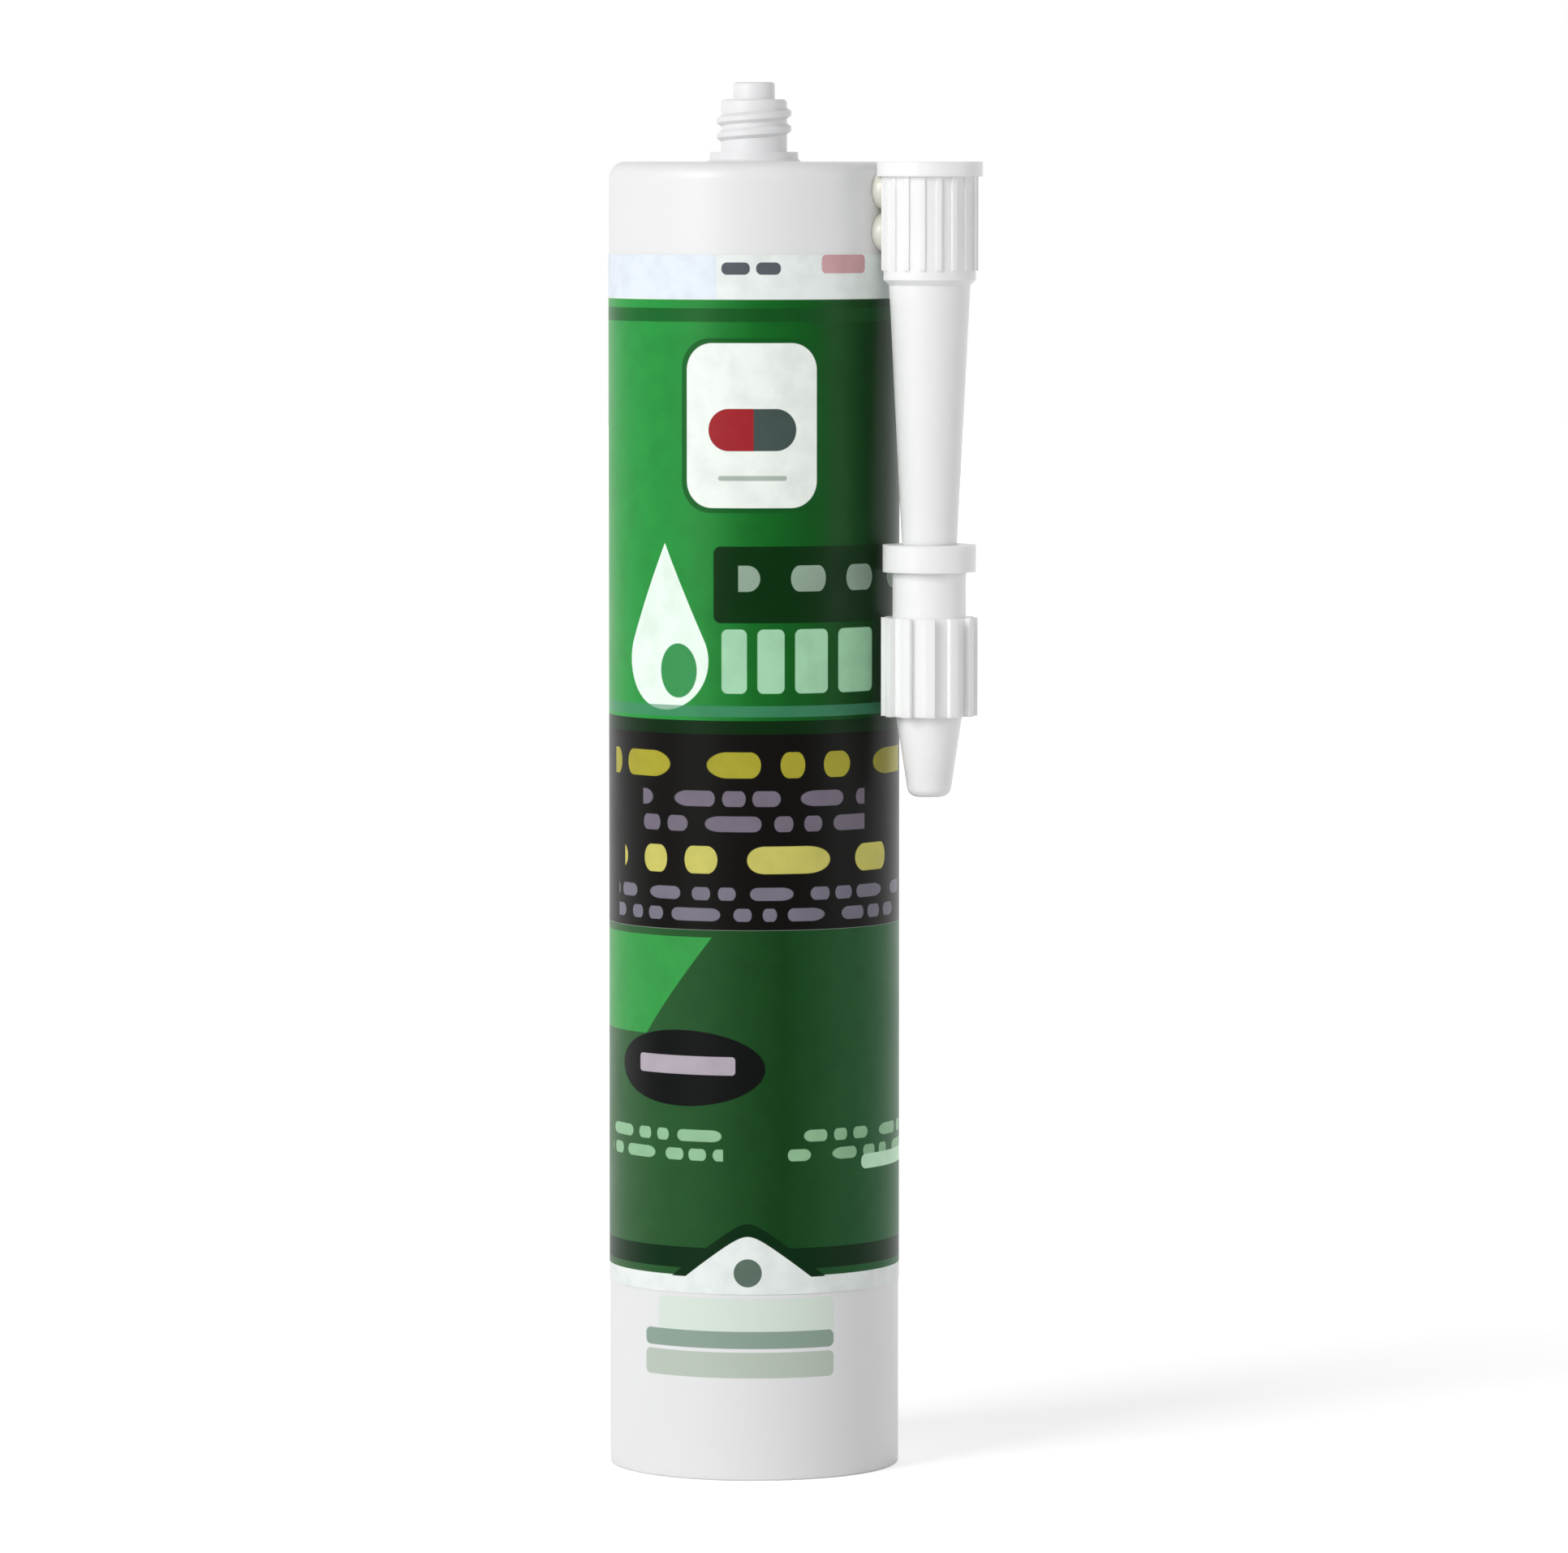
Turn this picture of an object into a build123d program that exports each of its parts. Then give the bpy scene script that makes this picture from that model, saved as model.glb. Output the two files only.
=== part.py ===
from build123d import *
import os
from math import cos, radians, sin

# Sealant cartridge: a hollow barrel with a piston in its open rear end, a wrap label, and the
# screw-on nozzle with its end cap hot-glued upside down to the barrel's side.
# Millimetres. Z is the barrel's axis, with the rear rim at z = 0 and the spout on top.

# Barrel: one moulded piece with its shoulder and closed spout
barrel_radius = 23.75
barrel_length = 214.0
barrel_wall = 1.3
shoulder_wall = 1.8
shoulder_corner = 2.6
rim_edge = 0.35

spout_base_radius = 7.2
spout_base_height = 1.6
spout_radius = 5.4
spout_bore = 3.8
spout_thread_height = 8.6
spout_nib_radius = 3.4
spout_nib_height = 2.8
spout_end_wall = 1.5

# Piston
piston_recess = 10.0
piston_length = 18.0
piston_wall = 1.3
piston_front_wall = 2.0
piston_dome_radius = 12.0
piston_dome_height = 1.6
piston_lip_length = 2.4
piston_lip_depth = 0.6
piston_running_gap = 0.08
piston_rib_count = 6
piston_rib_width = 1.2
piston_rib_height = 5.0
piston_hub_radius = 4.0

# Sealant between the piston and the shoulder
sealant_gap = 0.05
sealant_piston_gap = 0.3

# Wrap label
label_thickness = 0.1
label_gap = 0.02
label_from_rear = 30.5
label_from_shoulder = 15.0
label_overlap_angle = 24.0
label_seam_angle = 112.0

# Nozzle, tip down beside the barrel, its mouth level with the shoulder
nozzle_angle = -29.0
nozzle_barrel_gap = 0.25
nozzle_length = 98.0
nozzle_flange_width = 1.1
nozzle_flange_height = 2.4
nozzle_collar_wall = 1.1
nozzle_collar_height = 20.0
nozzle_socket_depth = 14.0
nozzle_thread_room = 1.0
nozzle_cone_radius = 6.6
nozzle_tip_radius = 2.7
nozzle_tip_bore = 1.7
nozzle_wall = 1.1
nozzle_rib_count = 18
nozzle_rib_width = 0.9
nozzle_rib_depth = 0.35

# End cap pushed over the nozzle's tip
cap_reach = 36.0
cap_end_wall = 2.5
cap_end_room = 2.5
cap_gap = 0.25
cap_flange_radius = 7.6
cap_flange_height = 4.4
cap_neck_radius = 6.0
cap_neck_height = 7.4
cap_grip_radius = 6.9
cap_grip_height = 16.0
cap_nose_radius = 5.4
cap_end_radius = 3.4
cap_rib_count = 12
cap_rib_width = 1.5
cap_rib_depth = 0.95

# Hot-melt dots between the nozzle and the barrel
glue_gap = 0.02
glue_radius = 3.2
upper_glue_from_mouth = 4.6
lower_glue_from_mouth = 11.4

# Worked out from the sizes above
bore_radius = barrel_radius - barrel_wall
bore_top = barrel_length - shoulder_wall
spout_thread_top = barrel_length + spout_base_height + spout_thread_height
spout_top = spout_thread_top + spout_nib_height
piston_front = piston_recess + piston_length
piston_lip_radius = bore_radius - piston_running_gap
piston_body_radius = piston_lip_radius - piston_lip_depth
label_inner = barrel_radius + label_gap
label_outer = label_inner + label_thickness
label_top = barrel_length - label_from_shoulder
nozzle_socket_radius = spout_radius + nozzle_thread_room
nozzle_collar_radius = nozzle_socket_radius + nozzle_collar_wall
nozzle_flange_radius = nozzle_collar_radius + nozzle_flange_width
nozzle_taper = (nozzle_cone_radius - nozzle_tip_radius) / (nozzle_length - nozzle_collar_height)
nozzle_reach = barrel_radius + nozzle_barrel_gap + nozzle_flange_radius
nozzle_place = Pos(
    nozzle_reach * cos(radians(nozzle_angle)),
    nozzle_reach * sin(radians(nozzle_angle)),
    barrel_length,
)


def turned(*outline):
    """A solid of revolution about Z from an outline of (radius, height) points."""
    corners = [(radius, 0, height) for radius, height in outline]
    return revolve(make_face(Polyline(*corners, close=True)), Axis.Z)


def circles(solid, radius, height):
    """The solid's circular edges of that radius at that height, centred on Z."""
    return [
        edge
        for edge in solid.edges().filter_by(GeomType.CIRCLE)
        if abs(edge.radius - radius) < 0.01 and abs(edge.arc_center.Z - height) < 0.01
    ]


def ring(inner, outer, bottom, top, arc=360):
    """A tube, or a sector of one from +X, between two radii and two heights."""
    height = top - bottom
    seat = (Align.CENTER, Align.CENTER, Align.MIN)
    wall = Cylinder(outer, height, arc_size=arc, align=seat) - Cylinder(inner, 3 * height)
    return Pos(0, 0, bottom) * wall


def ribs_around(count, inner, outer, width, bottom, top):
    """Upright ribs spaced evenly about Z."""
    rib = Pos(inner, 0, bottom) * Box(
        outer - inner, width, top - bottom, align=(Align.MIN, Align.CENTER, Align.MIN)
    )
    return [Rot(0, 0, 360 * turn / count) * rib for turn in range(count)]


def cone_radius(drop):
    """The nozzle's outer radius at a distance below its mouth, on its cone."""
    return nozzle_cone_radius - nozzle_taper * (drop - nozzle_collar_height)


def make_barrel():
    body = turned(
        (bore_radius, 0),
        (barrel_radius, 0),
        (barrel_radius, barrel_length),
        (spout_base_radius, barrel_length),
        (spout_base_radius, barrel_length + spout_base_height),
        (spout_radius, barrel_length + spout_base_height),
        (spout_radius, spout_thread_top),
        (spout_nib_radius, spout_thread_top),
        (spout_nib_radius, spout_top),
        (0, spout_top),
        (0, spout_top - spout_end_wall),
        (spout_nib_radius - spout_end_wall, spout_top - spout_end_wall),
        (spout_nib_radius - spout_end_wall, spout_thread_top - spout_end_wall),
        (spout_bore, spout_thread_top - spout_end_wall),
        (spout_bore, bore_top),
        (bore_radius, bore_top),
    )
    body = fillet(circles(body, barrel_radius, barrel_length), shoulder_corner)
    body = fillet(circles(body, bore_radius, bore_top), shoulder_corner - barrel_wall)
    body = fillet(circles(body, spout_base_radius, barrel_length), 0.8)
    body = fillet(circles(body, spout_radius, spout_thread_top), 0.7)
    body = fillet(circles(body, spout_nib_radius, spout_top), 0.6)
    return fillet(circles(body, barrel_radius, 0), rim_edge)


def make_piston():
    lip_start = piston_front - piston_lip_length
    face = piston_front - piston_front_wall
    cup_radius = piston_body_radius - piston_wall
    cup = turned(
        (cup_radius, piston_recess),
        (piston_lip_radius, piston_recess),
        (piston_lip_radius, piston_recess + piston_lip_length),
        (piston_body_radius, piston_recess + piston_lip_length + piston_lip_depth),
        (piston_body_radius, lip_start - piston_lip_depth),
        (piston_lip_radius, lip_start),
        (piston_lip_radius, piston_front),
        (piston_dome_radius + piston_dome_height, piston_front),
        (piston_dome_radius, piston_front + piston_dome_height),
        (0, piston_front + piston_dome_height),
        (0, face),
        (cup_radius, face),
    )
    rib_foot = face - piston_rib_height
    hub = ring(piston_hub_radius - piston_wall, piston_hub_radius, rib_foot, face)
    ribs = ribs_around(
        piston_rib_count,
        piston_hub_radius - piston_wall / 2,
        cup_radius + piston_wall / 2,
        piston_rib_width,
        rib_foot,
        face + piston_front_wall / 2,
    )
    return cup + hub + ribs


def make_sealant():
    rear = piston_front + sealant_piston_gap
    column = bore_radius - sealant_gap
    spout_column = spout_bore - sealant_gap
    front = bore_top - sealant_gap
    plug = turned(
        (0, rear + piston_dome_height),
        (piston_dome_radius, rear + piston_dome_height),
        (piston_dome_radius + piston_dome_height, rear),
        (column, rear),
        (column, front),
        (spout_column, front),
        (spout_column, spout_thread_top - spout_end_wall - sealant_gap),
        (0, spout_thread_top - spout_end_wall - sealant_gap),
    )
    return fillet(circles(plug, column, front), shoulder_corner - barrel_wall)


def make_label():
    wrap = ring(label_inner, label_outer, label_from_rear, label_top)
    flap = ring(
        label_outer,
        label_outer + label_thickness,
        label_from_rear,
        label_top,
        label_overlap_angle,
    )
    return wrap + Rot(0, 0, label_seam_angle) * flap


def nozzle_shell():
    """The nozzle's outside, closed, with its mouth at z = 0 and its tip below."""
    return turned(
        (0, 0),
        (nozzle_flange_radius, 0),
        (nozzle_flange_radius, -nozzle_flange_height),
        (nozzle_collar_radius, -nozzle_flange_height),
        (nozzle_collar_radius, nozzle_collar_radius - nozzle_cone_radius - nozzle_collar_height),
        (nozzle_cone_radius, -nozzle_collar_height),
        (nozzle_tip_radius, -nozzle_length),
        (0, -nozzle_length),
    )


def nozzle_ribs():
    return ribs_around(
        nozzle_rib_count,
        nozzle_collar_radius - nozzle_collar_wall / 2,
        nozzle_collar_radius + nozzle_rib_depth,
        nozzle_rib_width,
        -nozzle_collar_height + nozzle_flange_height,
        -nozzle_flange_height / 2,
    )


def make_nozzle():
    seat_step = nozzle_socket_radius - nozzle_cone_radius + nozzle_wall
    channel = turned(
        (0, nozzle_wall),
        (nozzle_socket_radius, nozzle_wall),
        (nozzle_socket_radius, -nozzle_socket_depth),
        (nozzle_cone_radius - nozzle_wall, -nozzle_socket_depth - seat_step),
        (nozzle_cone_radius - nozzle_wall, -nozzle_collar_height),
        (nozzle_tip_bore, -nozzle_length),
        (nozzle_tip_bore, -nozzle_length - nozzle_wall),
        (0, -nozzle_length - nozzle_wall),
    )
    return nozzle_place * (nozzle_shell() + nozzle_ribs() - channel)


def make_cap():
    mouth_drop = nozzle_length - cap_reach
    neck_drop = mouth_drop + cap_flange_height
    grip_drop = neck_drop + cap_neck_height
    nose_drop = grip_drop + cap_grip_height
    end_drop = nozzle_length + cap_end_room + cap_end_wall
    shell = turned(
        (0, -mouth_drop),
        (cap_flange_radius, -mouth_drop),
        (cap_flange_radius, -neck_drop),
        (cap_neck_radius, -neck_drop),
        (cap_neck_radius, -grip_drop),
        (cap_grip_radius, -grip_drop),
        (cap_grip_radius, -nose_drop),
        (cap_nose_radius, -nose_drop),
        (cap_end_radius, -end_drop),
        (0, -end_drop),
    )
    shell = fillet(circles(shell, cap_end_radius, -end_drop), cap_end_radius / 2)
    ribs = ribs_around(
        cap_rib_count,
        cap_neck_radius,
        cap_grip_radius + cap_rib_depth,
        cap_rib_width,
        -nose_drop,
        -grip_drop,
    )
    hollow = turned(
        (0, -mouth_drop + cap_gap),
        (cone_radius(mouth_drop) + cap_gap, -mouth_drop + cap_gap),
        (cone_radius(mouth_drop) + cap_gap, -mouth_drop),
        (nozzle_tip_radius + cap_gap, -nozzle_length),
        (nozzle_tip_radius + cap_gap, -nozzle_length - cap_end_room),
        (0, -nozzle_length - cap_end_room),
    )
    return nozzle_place * (shell + ribs - hollow)


def make_glue_dot(drop):
    """A blob squeezed between the bare barrel and the nozzle's collar."""
    middle = (barrel_radius + nozzle_reach - nozzle_collar_radius) / 2
    height = barrel_length - drop
    blob = Rot(0, 0, nozzle_angle) * Pos(middle, 0, height) * Rot(0, 90, 0) * Sphere(glue_radius)
    blob -= Pos(0, 0, height) * Cylinder(barrel_radius + glue_gap, 4 * glue_radius)
    blob -= nozzle_place * nozzle_shell()
    return blob - [nozzle_place * rib for rib in nozzle_ribs()]


os.makedirs("parts", exist_ok=True)
nodes = {
    "barrel": make_barrel(),
    "piston": make_piston(),
    "sealant": make_sealant(),
    "label": make_label(),
    "nozzle": make_nozzle(),
    "nozzle_cap": make_cap(),
    "upper_glue_dot": make_glue_dot(upper_glue_from_mouth),
    "lower_glue_dot": make_glue_dot(lower_glue_from_mouth),
}
for name, solid in nodes.items():
    export_step(solid, f"parts/{name}.step")
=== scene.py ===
from math import asin, cos, pi, sin

import bpy
import bmesh
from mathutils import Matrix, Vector


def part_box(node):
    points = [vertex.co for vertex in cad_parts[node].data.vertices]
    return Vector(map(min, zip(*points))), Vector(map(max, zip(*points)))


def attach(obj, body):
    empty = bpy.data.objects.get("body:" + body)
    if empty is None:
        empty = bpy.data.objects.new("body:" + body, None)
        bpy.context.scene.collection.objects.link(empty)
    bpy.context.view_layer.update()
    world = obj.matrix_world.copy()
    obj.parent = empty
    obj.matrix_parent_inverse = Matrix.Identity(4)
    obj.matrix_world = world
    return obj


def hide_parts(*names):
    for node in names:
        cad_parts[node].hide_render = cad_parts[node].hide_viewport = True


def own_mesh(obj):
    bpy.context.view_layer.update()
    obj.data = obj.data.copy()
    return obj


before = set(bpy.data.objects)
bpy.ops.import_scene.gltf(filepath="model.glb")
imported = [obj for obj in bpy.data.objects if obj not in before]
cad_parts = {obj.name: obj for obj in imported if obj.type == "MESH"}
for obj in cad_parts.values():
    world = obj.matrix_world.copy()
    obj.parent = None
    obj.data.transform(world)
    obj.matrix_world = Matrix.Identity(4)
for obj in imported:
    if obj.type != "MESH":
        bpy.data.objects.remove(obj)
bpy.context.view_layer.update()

MM = 0.001

# Places that the CAD solids give, in metres
BARREL_LOW, BARREL_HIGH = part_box("barrel")
LABEL_LOW, LABEL_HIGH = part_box("label")
NOZZLE_LOW, NOZZLE_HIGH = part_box("nozzle")
SEALANT_LOW, SEALANT_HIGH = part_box("sealant")
SHOULDER = NOZZLE_HIGH.z
LABEL_RADIUS = LABEL_HIGH.y
NOZZLE_AXIS = Vector(
    ((NOZZLE_LOW.x + NOZZLE_HIGH.x) / 2, (NOZZLE_LOW.y + NOZZLE_HIGH.y) / 2, 0)
)


# ---------------------------------------------------------------- colour and shader helpers


def srgb(red, green, blue):
    """A colour written as 0 to 255 screen values, as linear light."""
    shares = [level / 255 for level in (red, green, blue)]
    return tuple(s / 12.92 if s <= 0.04045 else ((s + 0.055) / 1.055) ** 2.4 for s in shares) + (1,)


def link(tree, value, socket):
    if isinstance(value, bpy.types.NodeSocket):
        tree.links.new(value, socket)
    else:
        socket.default_value = value


def calc(tree, operation, *values):
    """A Math node's result. Each value is a number or another node's output."""
    node = tree.nodes.new("ShaderNodeMath")
    node.operation = operation
    for socket, value in zip(node.inputs, values):
        link(tree, value, socket)
    return node.outputs[0]


def blend_colours(tree, factor, first, second, mode="MIX"):
    node = tree.nodes.new("ShaderNodeMix")
    node.data_type = "RGBA"
    node.blend_type = mode
    link(tree, factor, node.inputs["Factor"])
    link(tree, first, node.inputs[6])
    link(tree, second, node.inputs[7])
    return node.outputs[2]


def ramp(tree, value, *stops):
    """A colour ramp over 0 to 1 with (place, colour) stops."""
    node = tree.nodes.new("ShaderNodeValToRGB")
    elements = node.color_ramp.elements
    while len(elements) < len(stops):
        elements.new(0.5)
    for element, (place, colour) in zip(elements, stops):
        element.position = place
        element.color = colour
    link(tree, value, node.inputs[0])
    return node.outputs[0]


def place(tree):
    """Position on the object, in metres, as one output and as its three parts."""
    node = tree.nodes.new("ShaderNodeTexCoord")
    parts = tree.nodes.new("ShaderNodeSeparateXYZ")
    tree.links.new(node.outputs["Object"], parts.inputs[0])
    return node.outputs["Object"], parts.outputs


def stretched(tree, vector, scale):
    node = tree.nodes.new("ShaderNodeMapping")
    tree.links.new(vector, node.inputs["Vector"])
    node.inputs["Scale"].default_value = scale
    return node.outputs[0]


def noise(tree, vector, scale, detail=3.0, roughness=0.5):
    node = tree.nodes.new("ShaderNodeTexNoise")
    tree.links.new(vector, node.inputs["Vector"])
    node.inputs["Scale"].default_value = scale
    node.inputs["Detail"].default_value = detail
    node.inputs["Roughness"].default_value = roughness
    return node.outputs[0]


def between(tree, value, low, high):
    """A 0 to 1 value spread over low to high."""
    node = tree.nodes.new("ShaderNodeMapRange")
    tree.links.new(value, node.inputs[0])
    node.inputs[3].default_value = low
    node.inputs[4].default_value = high
    return node.outputs[0]


def bump(tree, height, strength, distance, under=None):
    node = tree.nodes.new("ShaderNodeBump")
    node.inputs["Strength"].default_value = strength
    node.inputs["Distance"].default_value = distance
    link(tree, height, node.inputs["Height"])
    if under is not None:
        tree.links.new(under, node.inputs["Normal"])
    return node.outputs[0]


def new_material(name, **settings):
    """A material, its tree and its Principled shader with the given plain settings."""
    material = bpy.data.materials.new(name)
    material.use_nodes = True
    shader = material.node_tree.nodes["Principled BSDF"]
    shader.inputs["Subsurface Radius"].default_value = (1, 1, 1)
    for socket, value in settings.items():
        shader.inputs[socket.replace("_", " ")].default_value = value
    return material, material.node_tree, shader


# ---------------------------------------------------------------- drawing flat print with nodes


class Print:
    """Flat shapes in ink on a cylinder about Z. u runs round it from its front, in mm of arc
    towards +X, and z is the height in mm. A shape is a mask, 1 inside and 0 outside."""

    EDGE = 0.12

    def __init__(self, tree, radius, ground):
        self.tree = tree
        self.vector, (x, y, z) = place(tree)
        self.z = self.calc("MULTIPLY", z, 1 / MM)
        around = self.calc("ARCTAN2", x, self.calc("MULTIPLY", y, -1.0))
        self.u = self.calc("MULTIPLY", around, radius / MM)
        self.side = self.calc("MULTIPLY_ADD", x, 0.5 / radius, 0.5)
        self.colour = ground

    def calc(self, operation, *values):
        return calc(self.tree, operation, *values)

    def filled(self, distance):
        """The mask of a signed distance in mm, below 0 inside."""
        inside = self.calc("MULTIPLY_ADD", distance, -1 / self.EDGE, 0.5)
        inside.node.use_clamp = True
        return inside

    def outside(self, mask):
        return self.calc("SUBTRACT", 1.0, mask)

    def off(self, value, middle, half):
        """How far a coordinate is outside a span."""
        away = self.calc("ABSOLUTE", self.calc("SUBTRACT", value, middle))
        return self.calc("SUBTRACT", away, half)

    def band(self, low, high):
        return self.filled(self.off(self.z, (low + high) / 2, (high - low) / 2))

    def block(self, left, right, low, high, corner=0.0):
        across = self.off(self.u, (left + right) / 2, (right - left) / 2 - corner)
        upright = self.off(self.z, (low + high) / 2, (high - low) / 2 - corner)
        if not corner:
            return self.filled(self.calc("MAXIMUM", across, upright))
        across = self.calc("MAXIMUM", across, 0.0)
        upright = self.calc("MAXIMUM", upright, 0.0)
        square = self.calc("MULTIPLY_ADD", across, across, self.calc("MULTIPLY", upright, upright))
        return self.filled(self.calc("SUBTRACT", self.calc("SQRT", square), corner))

    def oval(self, u, z, wide, tall):
        across = self.calc("MULTIPLY", self.calc("SUBTRACT", self.u, u), 1 / wide)
        upright = self.calc("MULTIPLY", self.calc("SUBTRACT", self.z, z), 1 / tall)
        square = self.calc("MULTIPLY_ADD", across, across, self.calc("MULTIPLY", upright, upright))
        distance = self.calc("SUBTRACT", self.calc("SQRT", square), 1.0)
        return self.filled(self.calc("MULTIPLY", distance, min(wide, tall)))

    def left_of(self, foot, head):
        """Everything to the left of the line from foot to head, two (u, z) points."""
        (u0, z0), (u1, z1) = foot, head
        length = ((u1 - u0) ** 2 + (z1 - z0) ** 2) ** 0.5
        across = self.calc("MULTIPLY", self.calc("SUBTRACT", self.u, u0), (z1 - z0) / length)
        upright = self.calc("MULTIPLY", self.calc("SUBTRACT", self.z, z0), (u0 - u1) / length)
        return self.filled(self.calc("ADD", across, upright))

    def both(self, *masks):
        result = masks[0]
        for mask in masks[1:]:
            result = self.calc("MULTIPLY", result, mask)
        return result

    def either(self, *masks):
        result = masks[0]
        for mask in masks[1:]:
            result = self.calc("MAXIMUM", result, mask)
        return result

    def word_rows(self, left, right, low, high, rows, length, seed=0.0, weight=0.62):
        """Rows of plain round-ended bars. Each bar has a place of about length mm, which it fills
        by 0.54 to 0.82, and weight is its share of its row's height."""
        pitch = (high - low) / rows
        row = self.calc("MULTIPLY_ADD", self.z, 1 / pitch, -low / pitch)
        line = self.calc("FLOOR", row)
        phase = self.calc("MULTIPLY_ADD", line, 2.4, seed)
        shifted = self.calc("SINE", self.calc("MULTIPLY_ADD", self.u, 1.9 / length, phase))
        column = self.calc("MULTIPLY_ADD", self.u, 1 / length, self.calc("MULTIPLY_ADD", shifted, 0.3, 200.0))
        cell = self.tree.nodes.new("ShaderNodeCombineXYZ")
        link(self.tree, self.calc("FLOOR", column), cell.inputs[0])
        link(self.tree, line, cell.inputs[1])
        cell.inputs[2].default_value = seed
        chance = self.tree.nodes.new("ShaderNodeTexWhiteNoise")
        self.tree.links.new(cell.outputs[0], chance.inputs["Vector"])
        half_height = weight * pitch / 2
        half_length = self.calc("MULTIPLY_ADD", chance.outputs["Value"], 0.14 * length, 0.27 * length)
        along = self.calc("MULTIPLY", self.calc("SUBTRACT", self.calc("FRACT", column), 0.5), length)
        along = self.calc("SUBTRACT", self.calc("ABSOLUTE", along), half_length)
        along = self.calc("MAXIMUM", self.calc("ADD", along, half_height), 0.0)
        upright = self.calc("MULTIPLY", self.calc("SUBTRACT", self.calc("FRACT", row), 0.5), pitch)
        square = self.calc("MULTIPLY_ADD", along, along, self.calc("MULTIPLY", upright, upright))
        bars = self.filled(self.calc("SUBTRACT", self.calc("SQRT", square), half_height))
        return self.both(self.block(left, right, low, high), bars)

    def peak(self, u, z, half, foot):
        """A low hill with a rounded top at (u, z), half its width at the height foot."""
        run = (half**2 + (z - foot) ** 2) ** 0.5
        across = self.calc("ABSOLUTE", self.calc("SUBTRACT", self.u, u))
        slope = self.calc("MULTIPLY", across, (z - foot) / run)
        level = self.calc("MULTIPLY", self.calc("SUBTRACT", self.z, z), half / run)
        rounding = 2.5
        smooth = self.calc("SQRT", self.calc("MULTIPLY_ADD", slope, slope, rounding**2 / 4))
        return self.both(self.filled(self.calc("ADD", smooth, level)), self.band(foot, z))

    def ink(self, mask, colour, strength=1.0):
        if strength != 1.0:
            mask = self.calc("MULTIPLY", mask, strength)
        self.colour = blend_colours(self.tree, mask, self.colour, colour)


def round_to(x):
    """The arc length from the front at which a point of the label shows x mm off its axis."""
    reach = LABEL_RADIUS / MM
    return reach * asin(max(-1.0, min(1.0, x / reach)))


# ---------------------------------------------------------------- materials


# Heights of the label's fields, in mm
GREEN_TOP, UPPER_FOOT = 191.8, 90.0
BAND_HIGH, BAND_LOW = 121.6, 89.8
GREEN_FOOT = 33.4
HILL_FOOT = 31.5

LABEL_WHITE = srgb(240, 246, 243)
EDGE_GREEN = srgb(2, 44, 14)
GREY_PRINT = srgb(92, 96, 104)
PALE_PRINT = srgb(150, 196, 154)
BACK_PRINT = srgb(92, 104, 96)


def print_top_border(p):
    """A pale blue tint, two dark bars and a rose bar on the white border."""
    p.ink(p.block(round_to(-24), round_to(-6), 192, 200.6), srgb(222, 232, 255), 0.5)
    for left, right in ((-5.2, -0.6), (0.4, 4.4)):
        p.ink(p.block(round_to(left), round_to(right), 195.8, 197.8, 0.9), GREY_PRINT)
    p.ink(p.block(round_to(11), round_to(18), 196.0, 199.0, 0.8), srgb(214, 168, 172))


def print_upper_field_with_painted_shade(p):
    # The green is painted lighter at the left and darker to the right. This is partly the print's own
    # gradient and partly painted shade, darkest at the right edge beside the nozzle.
    green = ramp(
        p.tree, p.side,
        (0.0, srgb(48, 158, 72)),
        (0.28, srgb(40, 146, 62)),
        (0.5, srgb(20, 108, 36)),
        (0.85, srgb(2, 66, 14)),
        (1.0, srgb(0, 46, 8)),
    )
    p.ink(p.band(UPPER_FOOT, GREEN_TOP), green)
    p.ink(p.band(188.2, 190.4), srgb(16, 78, 28), 0.75)


def print_badge(p):
    """A plain rounded panel with a dark rim, a two-coloured capsule and a thin line."""
    p.ink(p.block(round_to(-11.6), round_to(11.0), 157.4, 185.6, 5.0), srgb(14, 86, 30), 0.8)
    p.ink(p.block(round_to(-10.8), round_to(10.2), 158.2, 184.8, 4.4), srgb(244, 250, 244))
    capsule = p.block(-7.4, 7.0, 167.4, 174.2, 3.39)
    p.ink(capsule, srgb(70, 86, 82))
    p.ink(p.both(capsule, p.left_of((0, 0), (0, 100))), srgb(164, 40, 46))
    p.ink(p.block(-5.8, 5.4, 162.6, 163.4, 0.39), srgb(176, 190, 180))


def print_drop(p):
    """A white drop at the left: a disc, and a neck whose sides touch it and meet at its top."""
    middle_u, middle_z, radius, top = round_to(-14.4), 133.4, 8.0, 152.4
    lean = asin(radius / (top - middle_z))
    cheek_u, cheek_z = radius * cos(lean), middle_z + radius * sin(lean)
    neck = p.both(
        p.left_of((middle_u + cheek_u, cheek_z), (middle_u, top)),
        p.outside(p.left_of((middle_u - cheek_u, cheek_z), (middle_u, top))),
        p.band(cheek_z, top),
    )
    p.ink(p.either(neck, p.oval(middle_u, middle_z, radius, radius)), srgb(238, 255, 242))
    p.ink(p.oval(middle_u + 2.6, middle_z - 1.6, 3.4, 4.4), srgb(60, 150, 84))


def print_strip(p):
    """A dark strip with one row of bars, four pale blocks under it, and a thin line."""
    p.ink(p.block(round_to(-6.5), 44, 139.6, 152.0, 1.2), srgb(2, 48, 8))
    p.ink(p.word_rows(round_to(-2.5), 40, 143.4, 150.2, 1, 15.0, 11), srgb(150, 172, 154))
    for left, right in ((-5.2, -1.1), (0.6, 5.0), (6.7, 12.0), (13.7, 19.2)):
        p.ink(p.block(round_to(left), round_to(right), 128.2, 138.6, 1.0), srgb(168, 218, 180))
    p.ink(p.band(124.4, 126.2), srgb(70, 142, 108), 0.7)


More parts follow.
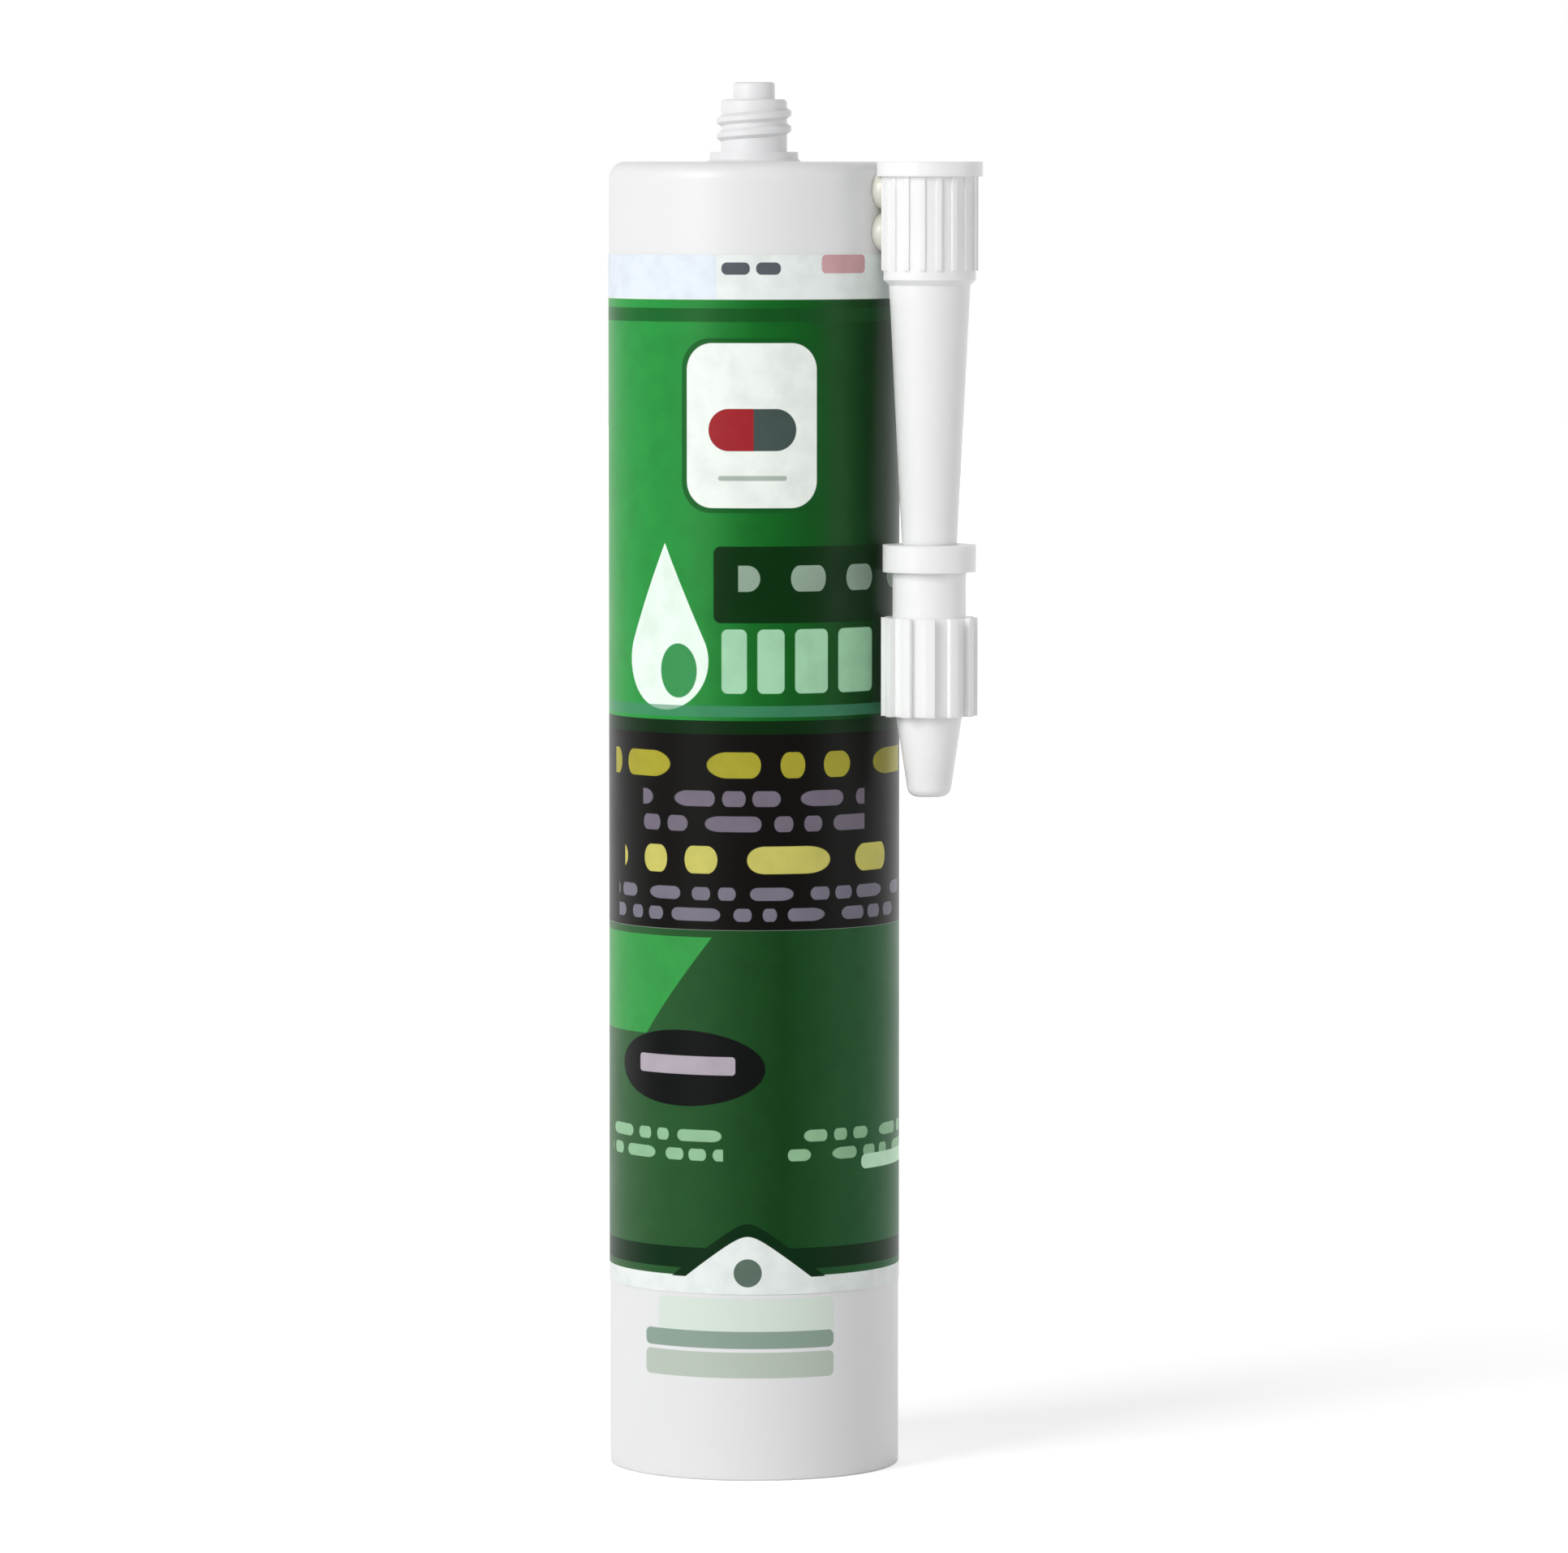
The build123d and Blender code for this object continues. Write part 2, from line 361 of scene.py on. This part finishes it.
def print_black_band(p):
    p.ink(p.band(121.4, 123.8), srgb(4, 42, 8))
    p.ink(p.band(BAND_LOW, BAND_HIGH), srgb(10, 8, 6))
    p.ink(p.word_rows(round_to(-22.5), 34, 113.2, 120.0, 1, 11.5, 5), srgb(172, 164, 52))
    p.ink(p.word_rows(round_to(-18), round_to(18), 105.0, 113.2, 2, 7.5, 17), srgb(120, 112, 126))
    p.ink(p.word_rows(round_to(-21), round_to(22), 97.6, 104.8, 1, 13.0, 2), srgb(206, 200, 104))
    p.ink(p.word_rows(round_to(-22), 34, 90.6, 97.4, 2, 6.5, 31), srgb(124, 120, 134))


def print_lower_field_with_painted_light(p):
    """Dark green whose tone across it is partly print and partly painted light: painted shade towards the
    middle and a painted rim highlight at the right edge. Over it a bright wedge, a black oval, small rows of
    bars and one pale bar.
    """
    # Lighter at the left, painted shade towards the middle, and a painted rim highlight at the right edge.
    green = ramp(
        p.tree, p.side,
        (0.0, srgb(52, 98, 56)),
        (0.3, srgb(34, 84, 40)),
        (0.6, srgb(16, 66, 22)),
        (1.0, srgb(40, 100, 56)),
    )
    p.ink(p.band(GREEN_FOOT, BAND_LOW), green)
    wedge = p.both(p.band(72.5, 88.6), p.left_of((round_to(-17.5), 72.5), (round_to(-6.8), 88.6)))
    p.ink(wedge, srgb(56, 158, 74))
    p.ink(p.oval(round_to(-11.6), 67.2, 14.0, 6.2), srgb(8, 10, 10))
    p.ink(p.block(round_to(-18.5), round_to(-3), 66.2, 69.2, 0.6), srgb(182, 172, 184))
    p.ink(p.word_rows(round_to(-23), round_to(-5), 51.6, 57.8, 2, 6.0, 41), PALE_PRINT)
    p.ink(p.word_rows(round_to(5), 42, 51.6, 57.8, 2, 6.0, 43), PALE_PRINT)
    p.ink(p.block(round_to(17.5), 44, 50.2, 52.6, 1.1), srgb(206, 246, 212))


def print_bottom_border(p):
    """A dark line, then white that rises to a low hill with one dot."""
    p.ink(p.band(34.6, 38.0), EDGE_GREEN)
    p.ink(p.peak(-1.0, 43.6, 15.5, HILL_FOOT), EDGE_GREEN)
    p.ink(p.band(20, GREEN_FOOT - 0.2), LABEL_WHITE)
    p.ink(p.peak(-1.0, 41.5, 13.0, HILL_FOOT), LABEL_WHITE)
    p.ink(p.oval(-1.0, 34.0, 2.3, 2.3), srgb(96, 116, 104))


def print_back_panel(p):
    """A pale panel with small rows of bars."""
    p.ink(p.block(44, 68, 44, 186, 2.0), srgb(226, 236, 228))
    p.ink(p.word_rows(46.5, 65.5, 96, 182, 34, 4.2, 53, 0.5), BACK_PRINT)
    p.ink(p.word_rows(46.5, 65.5, 48, 88, 16, 4.2, 59, 0.5), BACK_PRINT)


def label_material():
    """Printed film: flat inks, faintly uneven, with painted shade and a painted rim highlight in the green
    fields, on a slightly wavy satin surface.
    """
    material, tree, shader = new_material("printed_film_with_painted_shade", Specular_IOR_Level=0.12)
    p = Print(tree, LABEL_RADIUS, LABEL_WHITE)
    for draw in (
        print_top_border, print_upper_field_with_painted_shade, print_badge, print_drop, print_strip,
        print_black_band, print_lower_field_with_painted_light, print_bottom_border, print_back_panel,
    ):
        draw(p)
    uneven = ramp(tree, noise(tree, p.vector, 260, 4), (0.3, (0.9, 0.9, 0.9, 1)), (0.6, (1, 1, 1, 1)))
    tree.links.new(blend_colours(tree, 1.0, p.colour, uneven, "MULTIPLY"), shader.inputs["Base Color"])
    tree.links.new(between(tree, noise(tree, p.vector, 90), 0.3, 0.42), shader.inputs["Roughness"])
    waves = noise(tree, stretched(tree, p.vector, (1, 1, 0.35)), 45, 2)
    tree.links.new(bump(tree, waves, 0.12, 0.0004), shader.inputs["Normal"])
    return material


def barrel_material():
    material, tree, shader = new_material(
        "white_polyethylene",
        Subsurface_Weight=0.2,
        Subsurface_Scale=0.002,
        Specular_IOR_Level=0.45,
    )
    p = Print(tree, BARREL_HIGH.x, srgb(238, 238, 239))
    clouds = noise(tree, stretched(tree, p.vector, (1, 1, 0.4)), 55, 3)
    p.ink(clouds, srgb(228, 229, 230), 0.5)
    # A pale green patch above a grey-green bar at the front of the foot; the bar is darkest at its top and
    # paler below it.
    p.ink(p.block(round_to(-15.5), round_to(13), 24.2, 29.8, 1.0), srgb(214, 232, 216), 0.7)
    p.ink(p.block(round_to(-17.6), round_to(13), 21.6, 24.4, 1.0), srgb(116, 148, 128), 0.85)
    p.ink(p.block(round_to(-17.6), round_to(13), 16.8, 21.0, 1.0), srgb(176, 192, 174), 0.8)
    tree.links.new(p.colour, shader.inputs["Base Color"])
    tree.links.new(between(tree, clouds, 0.3, 0.46), shader.inputs["Roughness"])
    drawn = noise(tree, stretched(tree, p.vector, (1, 1, 0.06)), 700, 3)
    tree.links.new(bump(tree, drawn, 0.08, 0.0002), shader.inputs["Normal"])
    return material


def moulded_material(name, colour, shade, rough, subsurface, grain, depth=0.002):
    """Moulded polyethylene or paste: a faintly clouded colour and roughness over a fine grain."""
    material, tree, shader = new_material(
        name, Subsurface_Weight=subsurface, Subsurface_Scale=depth, Specular_IOR_Level=0.45
    )
    vector, _ = place(tree)
    clouds = noise(tree, vector, 120, 3)
    tree.links.new(blend_colours(tree, clouds, colour, shade), shader.inputs["Base Color"])
    tree.links.new(between(tree, clouds, rough - 0.07, rough + 0.07), shader.inputs["Roughness"])
    tree.links.new(bump(tree, noise(tree, vector, 1800, 2), grain, 0.0002), shader.inputs["Normal"])
    return material


# ---------------------------------------------------------------- mesh pieces


def mesh_piece(name, points, faces, material, body, smooth=True):
    mesh = bpy.data.meshes.new(name)
    mesh.from_pydata([tuple(point) for point in points], [], faces)
    mesh.validate()
    shaped = bmesh.new()
    shaped.from_mesh(mesh)
    bmesh.ops.recalc_face_normals(shaped, faces=shaped.faces)
    shaped.to_mesh(mesh)
    shaped.free()
    for polygon in mesh.polygons:
        polygon.use_smooth = smooth
    piece = bpy.data.objects.new(name, mesh)
    bpy.context.scene.collection.objects.link(piece)
    piece.data.materials.append(material)
    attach(piece, body)
    return piece


def thread(name, axis, bottom, top, root, crest, pitch, material, body):
    """A screw thread's ridge from root to crest radius, fading out at both ends. All in metres."""
    steps_per_turn = 72
    turns = (top - bottom) / pitch
    steps = int(turns * steps_per_turn)
    fade = steps_per_turn // 4
    foot, tip = 0.38 * pitch, 0.14 * pitch
    buried = root + (root - crest) * 0.15
    points, faces = [], []
    for step in range(steps + 1):
        angle = 2 * pi * step / steps_per_turn
        height = bottom + (top - bottom) * step / steps
        grown = min(1.0, step / fade, (steps - step) / fade)
        reach = root + (crest - root) * max(grown, 0.02)
        for radius, rise in ((buried, -foot), (reach, -tip), (reach, tip), (buried, foot)):
            rise *= max(grown, 0.1)
            points.append(axis + Vector((radius * cos(angle), radius * sin(angle), height + rise)))
        if step:
            a, b = 4 * (step - 1), 4 * step
            for side in range(4):
                after = (side + 1) % 4
                faces.append((a + side, a + after, b + after, b + side))
    faces.append((0, 1, 2, 3))
    faces.append(tuple(range(4 * steps, 4 * steps + 4)))
    return mesh_piece(name, points, faces, material, body, smooth=False)


def lathe(name, outline, sides, material, body):
    """A closed turned piece about Z from (radius, height) points that start and end on the axis."""
    points, faces, rings = [], [], []
    for radius, height in outline:
        if radius == 0:
            rings.append([len(points)] * sides)
            points.append((0, 0, height))
            continue
        rings.append(range(len(points), len(points) + sides))
        for side in range(sides):
            angle = 2 * pi * side / sides
            points.append((radius * cos(angle), radius * sin(angle), height))
    for low, high in zip(rings, rings[1:]):
        for side in range(sides):
            after = (side + 1) % sides
            corners = [low[side], low[after], high[after], high[side]]
            faces.append(tuple(dict.fromkeys(corners)))
    return mesh_piece(name, points, faces, material, body)


# ---------------------------------------------------------------- the object

plastic = barrel_material()
film = label_material()
piston_plastic = moulded_material(
    "piston_polyethylene", srgb(226, 226, 222), srgb(216, 216, 210), 0.45, 0.1, 0.1
)
nozzle_plastic = moulded_material(
    "nozzle_polyethylene", srgb(250, 251, 250), srgb(244, 246, 245), 0.34, 0.6, 0.08, depth=0.0015
)
paste = moulded_material("sealant_paste", srgb(232, 230, 222), srgb(224, 222, 212), 0.5, 0.1, 0.3)
hot_melt = moulded_material("hot_melt_glue", srgb(238, 236, 226), srgb(230, 226, 212), 0.2, 0.4, 0.05)

for node, material in {
    "barrel": plastic,
    "label": film,
    "piston": piston_plastic,
    "nozzle": nozzle_plastic,
    "nozzle_cap": nozzle_plastic,
    "upper_glue_dot": hot_melt,
    "lower_glue_dot": hot_melt,
}.items():
    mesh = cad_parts[node].data
    mesh.materials.clear()
    mesh.materials.append(material)

SPOUT_ROOT, SPOUT_CREST = 5.4 * MM, 6.1 * MM
SOCKET_ROOT, SOCKET_CREST = 6.4 * MM, 5.8 * MM
THREAD_PITCH = 2.5 * MM
ORIGIN = Vector((0, 0, 0))

spout_thread = thread("spout_thread", ORIGIN, SHOULDER + 2.9 * MM, SHOULDER + 8.6 * MM,
                      SPOUT_ROOT, SPOUT_CREST, THREAD_PITCH, plastic, "tube")
socket_thread = thread("socket_thread", NOZZLE_AXIS, SHOULDER - 11 * MM, SHOULDER - 3 * MM,
                       SOCKET_ROOT, SOCKET_CREST, THREAD_PITCH, nozzle_plastic, "tube")

column = SEALANT_HIGH.x - 0.1 * MM
shoulder_inside = SHOULDER - 2.0 * MM
spout_bore = 3.8 * MM
spout_end = SEALANT_HIGH.z - 0.3 * MM
recess, foot = SEALANT_LOW.z + 1.8 * MM, SEALANT_LOW.z + 0.2 * MM  # over the piston's dome and rim
corner = 1.4 * MM
plug = lathe(
    "sealant_plug",
    (
        (0, recess),
        (12 * MM, recess),
        (13.8 * MM, foot),
        (column, foot),
        (column, shoulder_inside - corner),
        (column - corner, shoulder_inside),
        (spout_bore, shoulder_inside),
        (spout_bore, spout_end),
        (0, spout_end),
    ),
    96,
    paste,
    "tube",
)
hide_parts("sealant")
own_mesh(plug)


# ---------------------------------------------------------------- floor, light and camera


# How much the floor is lifted to white, near the object and far off, and where, in metres
NEAR_GLOW, FAR_GLOW = 0.5, 1.0
NEAR, FAR = 0.1, 1.2


def stage_material():
    """A white floor that keeps the object's shadow, lifted to white where it is seen directly."""
    material = bpy.data.materials.new("floor")
    material.use_nodes = True
    tree = material.node_tree
    tree.nodes.clear()
    output = tree.nodes.new("ShaderNodeOutputMaterial")
    matt = tree.nodes.new("ShaderNodeBsdfDiffuse")
    matt.inputs["Color"].default_value = (0.8, 0.8, 0.8, 1)
    glow = tree.nodes.new("ShaderNodeEmission")
    path = tree.nodes.new("ShaderNodeLightPath")
    _, (x, y, _) = place(tree)
    behind = calc(tree, "GREATER_THAN", y, 0.0)
    mirrored = calc(tree, "MULTIPLY", path.outputs["Is Glossy Ray"], behind)
    seen = calc(tree, "ADD", path.outputs["Is Camera Ray"], mirrored)
    seen = calc(tree, "ADD", seen, path.outputs["Is Transmission Ray"])
    seen.node.use_clamp = True
    away = calc(tree, "SQRT", calc(tree, "MULTIPLY_ADD", x, x, calc(tree, "MULTIPLY", y, y)))
    spread = tree.nodes.new("ShaderNodeMapRange")
    tree.links.new(away, spread.inputs[0])
    for socket, value in zip(spread.inputs[1:5], (NEAR, FAR, NEAR_GLOW, FAR_GLOW)):
        socket.default_value = value
    tree.links.new(calc(tree, "MULTIPLY", seen, spread.outputs[0]), glow.inputs["Strength"])
    both = tree.nodes.new("ShaderNodeAddShader")
    tree.links.new(matt.outputs[0], both.inputs[0])
    tree.links.new(glow.outputs[0], both.inputs[1])
    tree.links.new(both.outputs[0], output.inputs[0])
    return material


def add_floor(half_width):
    mesh = bpy.data.meshes.new("floor")
    corners = [(-1, -1), (1, -1), (1, 1), (-1, 1)]
    mesh.from_pydata([(x * half_width, y * half_width, 0) for x, y in corners], [], [(0, 1, 2, 3)])
    floor = bpy.data.objects.new("floor", mesh)
    bpy.context.scene.collection.objects.link(floor)
    floor.data.materials.append(stage_material())


def add_world(front, back):
    """Soft light, stronger from the white backdrop behind the object than from the room before it."""
    world = bpy.data.worlds.new("studio")
    bpy.context.scene.world = world
    world.use_nodes = True
    tree = world.node_tree
    ground = tree.nodes["Background"]
    path = tree.nodes.new("ShaderNodeLightPath")
    _, direction = place(tree)
    spread = tree.nodes.new("ShaderNodeMapRange")
    spread.interpolation_type = "SMOOTHSTEP"
    tree.links.new(direction[1], spread.inputs[0])
    for socket, value in zip(spread.inputs[1:5], (0.35, 0.95, front, back)):
        socket.default_value = value
    seen = calc(tree, "ADD", path.outputs["Is Camera Ray"], path.outputs["Is Transmission Ray"])
    seen.node.use_clamp = True
    ground.inputs["Color"].default_value = (1, 1, 1, 1)
    strength = calc(tree, "MAXIMUM", seen, spread.outputs[0])
    tree.links.new(strength, ground.inputs["Strength"])


def aim(thing, target):
    thing.rotation_euler = (Vector(target) - thing.location).to_track_quat("-Z", "Y").to_euler()


def add_softbox(name, spot, target, width, height, power):
    lamp = bpy.data.lights.new(name, "AREA")
    lamp.shape = "RECTANGLE"
    lamp.size = width
    lamp.size_y = height
    lamp.energy = power
    lamp_object = bpy.data.objects.new(name, lamp)
    lamp_object.location = spot
    bpy.context.scene.collection.objects.link(lamp_object)
    aim(lamp_object, target)


add_floor(half_width=6.0)
add_world(front=0.32, back=1.0)
middle = (0, 0, SHOULDER / 2)
add_softbox("left_softbox", (-1.3, -1.3, 0.9), middle, 0.9, 1.2, 27)
add_softbox("right_softbox", (1.5, -0.55, 0.45), middle, 0.8, 1.2, 6)

FRAME_WIDTH = 0.2578
CAMERA_DISTANCE = 1.45
CAMERA_HEIGHT = 0.212
look_at = Vector((4.9 * MM, 0, 113.2 * MM))
camera = bpy.data.cameras.new("camera")
camera.sensor_width = 36
camera_object = bpy.data.objects.new("camera", camera)
camera_object.location = (look_at.x, -CAMERA_DISTANCE, CAMERA_HEIGHT)
bpy.context.scene.collection.objects.link(camera_object)
aim(camera_object, look_at)
camera.lens = camera.sensor_width * (camera_object.location - look_at).length / FRAME_WIDTH
bpy.context.scene.camera = camera_object
bpy.context.scene.view_settings.view_transform = "Standard"
